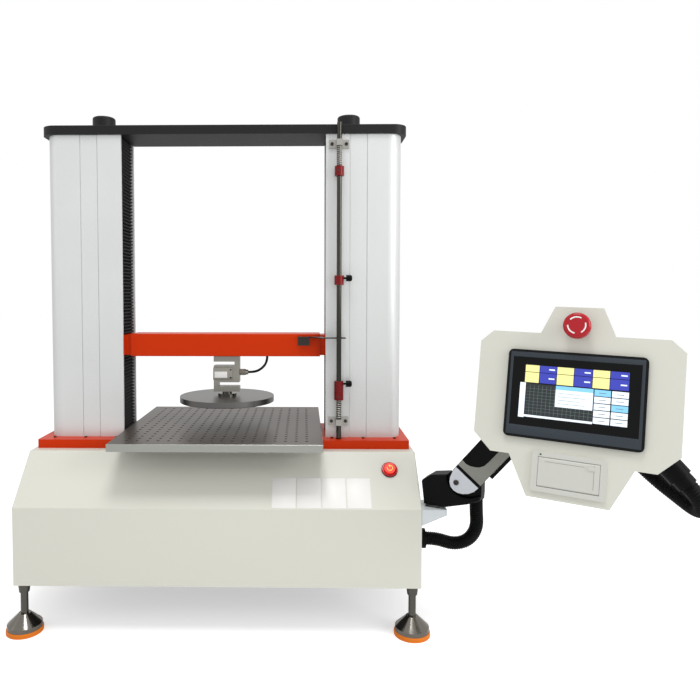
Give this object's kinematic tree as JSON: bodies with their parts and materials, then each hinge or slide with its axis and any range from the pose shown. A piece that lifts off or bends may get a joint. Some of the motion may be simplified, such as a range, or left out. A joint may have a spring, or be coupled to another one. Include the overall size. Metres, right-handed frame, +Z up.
{
  "type": "foam fatigue testing machine",
  "caption": "Twin-column compression tester for foam: a sheet-metal base with a perforated table, a moving crosshead with load cell and platen, and a touch panel on an arm.",
  "frame": {"origin": "on the floor, under the load axis at the centre of the platen and the table", "axes": "+X to the right as the operator sees it, +Y to the back, +Z up along the load axis"},
  "size_m": [1.1653, 0.6519, 1.016],
  "materials": {
    "orange_rubber": "moulded, satin",
    "foot_chrome": "polished",
    "bright_steel": "ground, bright",
    "frame_steel": "painted dark grey",
    "cream_paint": "fine powder coat",
    "orange_paint": "smooth paint",
    "satin_aluminium": "satin anodised extrusion",
    "black_texture_paint": "fine textured powder coat",
    "bellows_rubber": "folded, matt",
    "grey_steel": "plated",
    "cell_alloy": "satin",
    "cable_rubber": "smooth",
    "platen_steel": "ground, dark edge",
    "table_paint": "satin grey",
    "collar_red": "anodised red",
    "black_plastic": "moulded",
    "red_plastic": "moulded, glossy",
    "shelf_paint": "fine powder coat, pale grey",
    "arm_shell": "moulded grey",
    "panel_plastic": "moulded",
    "screen_glass": "smooth dark cover glass",
    "printer_plastic": "moulded, fine texture",
    "conduit_plastic": "ribbed"
  },
  "bodies": {
    "frame": {"foot_pads": "orange_rubber", "foot_bases": "foot_chrome", "foot_bolts": "bright_steel", "base_frame": "frame_steel", "base_housing": "cream_paint", "rear_cover": "cream_paint", "mains_inlet": "black_plastic", "column_base_plate": "orange_paint", "right_column": "satin_aluminium", "left_column": "satin_aluminium", "top_plate": "black_texture_paint", "screw_bearings": "bright_steel", "guide_rods": "bright_steel", "drive_motor": "black_texture_paint", "drive_belt": "bellows_rubber", "control_unit": "frame_steel", "upper_bellows": "bellows_rubber", "lower_bellows": "bellows_rubber", "load_table": "table_paint", "table_supports": "frame_steel", "rod_brackets": "grey_steel", "rod_springs": "bright_steel", "power_switch_body": "black_plastic", "arm_shelf": "shelf_paint", "arm_post": "bright_steel", "hose_flange": "black_plastic", "hose_lower": "conduit_plastic"},
    "crosshead": {"crosshead_beam": "orange_paint", "crosshead_bearings": "bright_steel", "crosshead_cover": "orange_paint", "trip_bracket": "grey_steel", "load_cell": "cell_alloy", "load_cell_studs": "bright_steel", "load_cell_cable": "cable_rubber", "platen": "platen_steel"},
    "left_screw": {"left_lead_screw": "bright_steel"},
    "right_screw": {"right_lead_screw": "bright_steel"},
    "motor_rotor": {"motor_pulley": "bright_steel"},
    "limit_rod": {"limit_rod": "bright_steel", "rod_seat_collars": "collar_red"},
    "upper_stop": {"upper_stop_collar": "collar_red"},
    "lower_stop": {"lower_stop_collar": "collar_red"},
    "upper_thumb": {"upper_thumb_screw": "black_plastic"},
    "lower_thumb": {"lower_thumb_screw": "black_plastic"},
    "power_cap": {"power_button": "red_plastic"},
    "knuckle": {"arm_knuckle": "black_plastic"},
    "link": {"arm_link": "arm_shell"},
    "wrist": {"arm_wrist": "black_plastic"},
    "head": {"arm_head": "black_plastic"},
    "pendant": {"pendant_front": "cream_paint", "pendant_back": "cream_paint", "hmi_bezel": "panel_plastic", "hmi_screen": "screen_glass", "printer_body": "printer_plastic", "estop_body": "black_plastic", "hose_connector": "black_plastic", "hose_upper": "conduit_plastic"},
    "estop_cap": {"estop_button": "red_plastic"},
    "door": {"printer_door": "printer_plastic"}
  },
  "joints": [
    {"name": "crosshead_travel", "type": "slide", "parent": "frame", "child": "crosshead", "axis": [0, 0, 1], "range_m": [-0.047, 0.1], "deforming": ["upper_bellows", "lower_bellows"]},
    {"name": "left_screw_turn", "type": "hinge", "parent": "frame", "child": "left_screw", "pos_m": [-0.258, 0, 0.6], "axis": [0, 0, 1], "range_deg": [-3603, 1695]},
    {"name": "right_screw_turn", "type": "hinge", "parent": "frame", "child": "right_screw", "pos_m": [0.258, 0, 0.6], "axis": [0, 0, 1], "range_deg": [-3603, 1695]},
    {"name": "motor_turn", "type": "hinge", "parent": "frame", "child": "motor_rotor", "pos_m": [0, 0.06, 0.3], "axis": [0, 0, 1], "range_deg": [-7203, 3387]},
    {"name": "limit_rod_slide", "type": "slide", "parent": "frame", "child": "limit_rod", "axis": [0, 0, 1], "range_m": [-0.004, 0.004], "stiffness_N_per_m": 5000, "springref_m": 0.0012, "deforming": ["rod_springs"]},
    {"name": "upper_stop_slide", "type": "slide", "parent": "limit_rod", "child": "upper_stop", "axis": [0, 0, 1], "range_m": [0, 0.19]},
    {"name": "lower_stop_slide", "type": "slide", "parent": "limit_rod", "child": "lower_stop", "axis": [0, 0, 1], "range_m": [0, 0.03]},
    {"name": "upper_thumb_turn", "type": "hinge", "parent": "upper_stop", "child": "upper_thumb", "pos_m": [0.2526, -0.064, 0.677], "axis": [1, 0, 0], "range_deg": [-360, 360]},
    {"name": "lower_thumb_turn", "type": "hinge", "parent": "lower_stop", "child": "lower_thumb", "pos_m": [0.2526, -0.064, 0.4624], "axis": [1, 0, 0], "range_deg": [-360, 360]},
    {"name": "power_press", "type": "slide", "parent": "frame", "child": "power_cap", "axis": [0, 0.7313, -0.682], "range_m": [0, 0.003], "stiffness_N_per_m": 900, "springref_m": -0.001},
    {"name": "arm_swivel", "type": "hinge", "parent": "frame", "child": "knuckle", "pos_m": [0.414, -0.152, 0.288], "axis": [0, 0, 1], "range_deg": [-45, 60]},
    {"name": "arm_lift", "type": "hinge", "parent": "knuckle", "child": "link", "pos_m": [0.47065, -0.18387, 0.309], "axis": [-0.4902, -0.8716, 0], "range_deg": [-50, 10]},
    {"name": "wrist_level", "type": "hinge", "parent": "link", "child": "wrist", "pos_m": [0.59266, -0.25249, 0.481], "axis": [-0.4902, -0.8716, 0], "range_deg": [-12, 52]},
    {"name": "head_pan", "type": "hinge", "parent": "wrist", "child": "head", "pos_m": [0.63101, -0.27406, 0.47058], "axis": [0, 0, 1], "range_deg": [-2, 70]},
    {"name": "pendant_tilt", "type": "hinge", "parent": "head", "child": "pendant", "pos_m": [0.61707, -0.30062, 0.47058], "axis": [0.8854, -0.4648, 0], "range_deg": [-20, 0]},
    {"name": "estop_press", "type": "slide", "parent": "pendant", "child": "estop_cap", "axis": [0.4582, 0.8727, -0.1685], "range_m": [0, 0.004], "stiffness_N_per_m": 1500, "springref_m": -0.0005},
    {"name": "printer_door_hinge", "type": "hinge", "parent": "pendant", "child": "door", "pos_m": [0.5274, -0.36851, 0.34868], "axis": [0.8825, -0.4693, -0.031], "range_deg": [0, 85]}
  ],
  "couplings": [
    {"joint": "left_screw_turn", "follows": "crosshead_travel", "rad_per_m": -628.32},
    {"joint": "right_screw_turn", "follows": "crosshead_travel", "rad_per_m": -628.32},
    {"joint": "motor_turn", "follows": "crosshead_travel", "rad_per_m": -1256.6},
    {"joint": "wrist_level", "follows": "arm_lift", "ratio": -1}
  ]
}
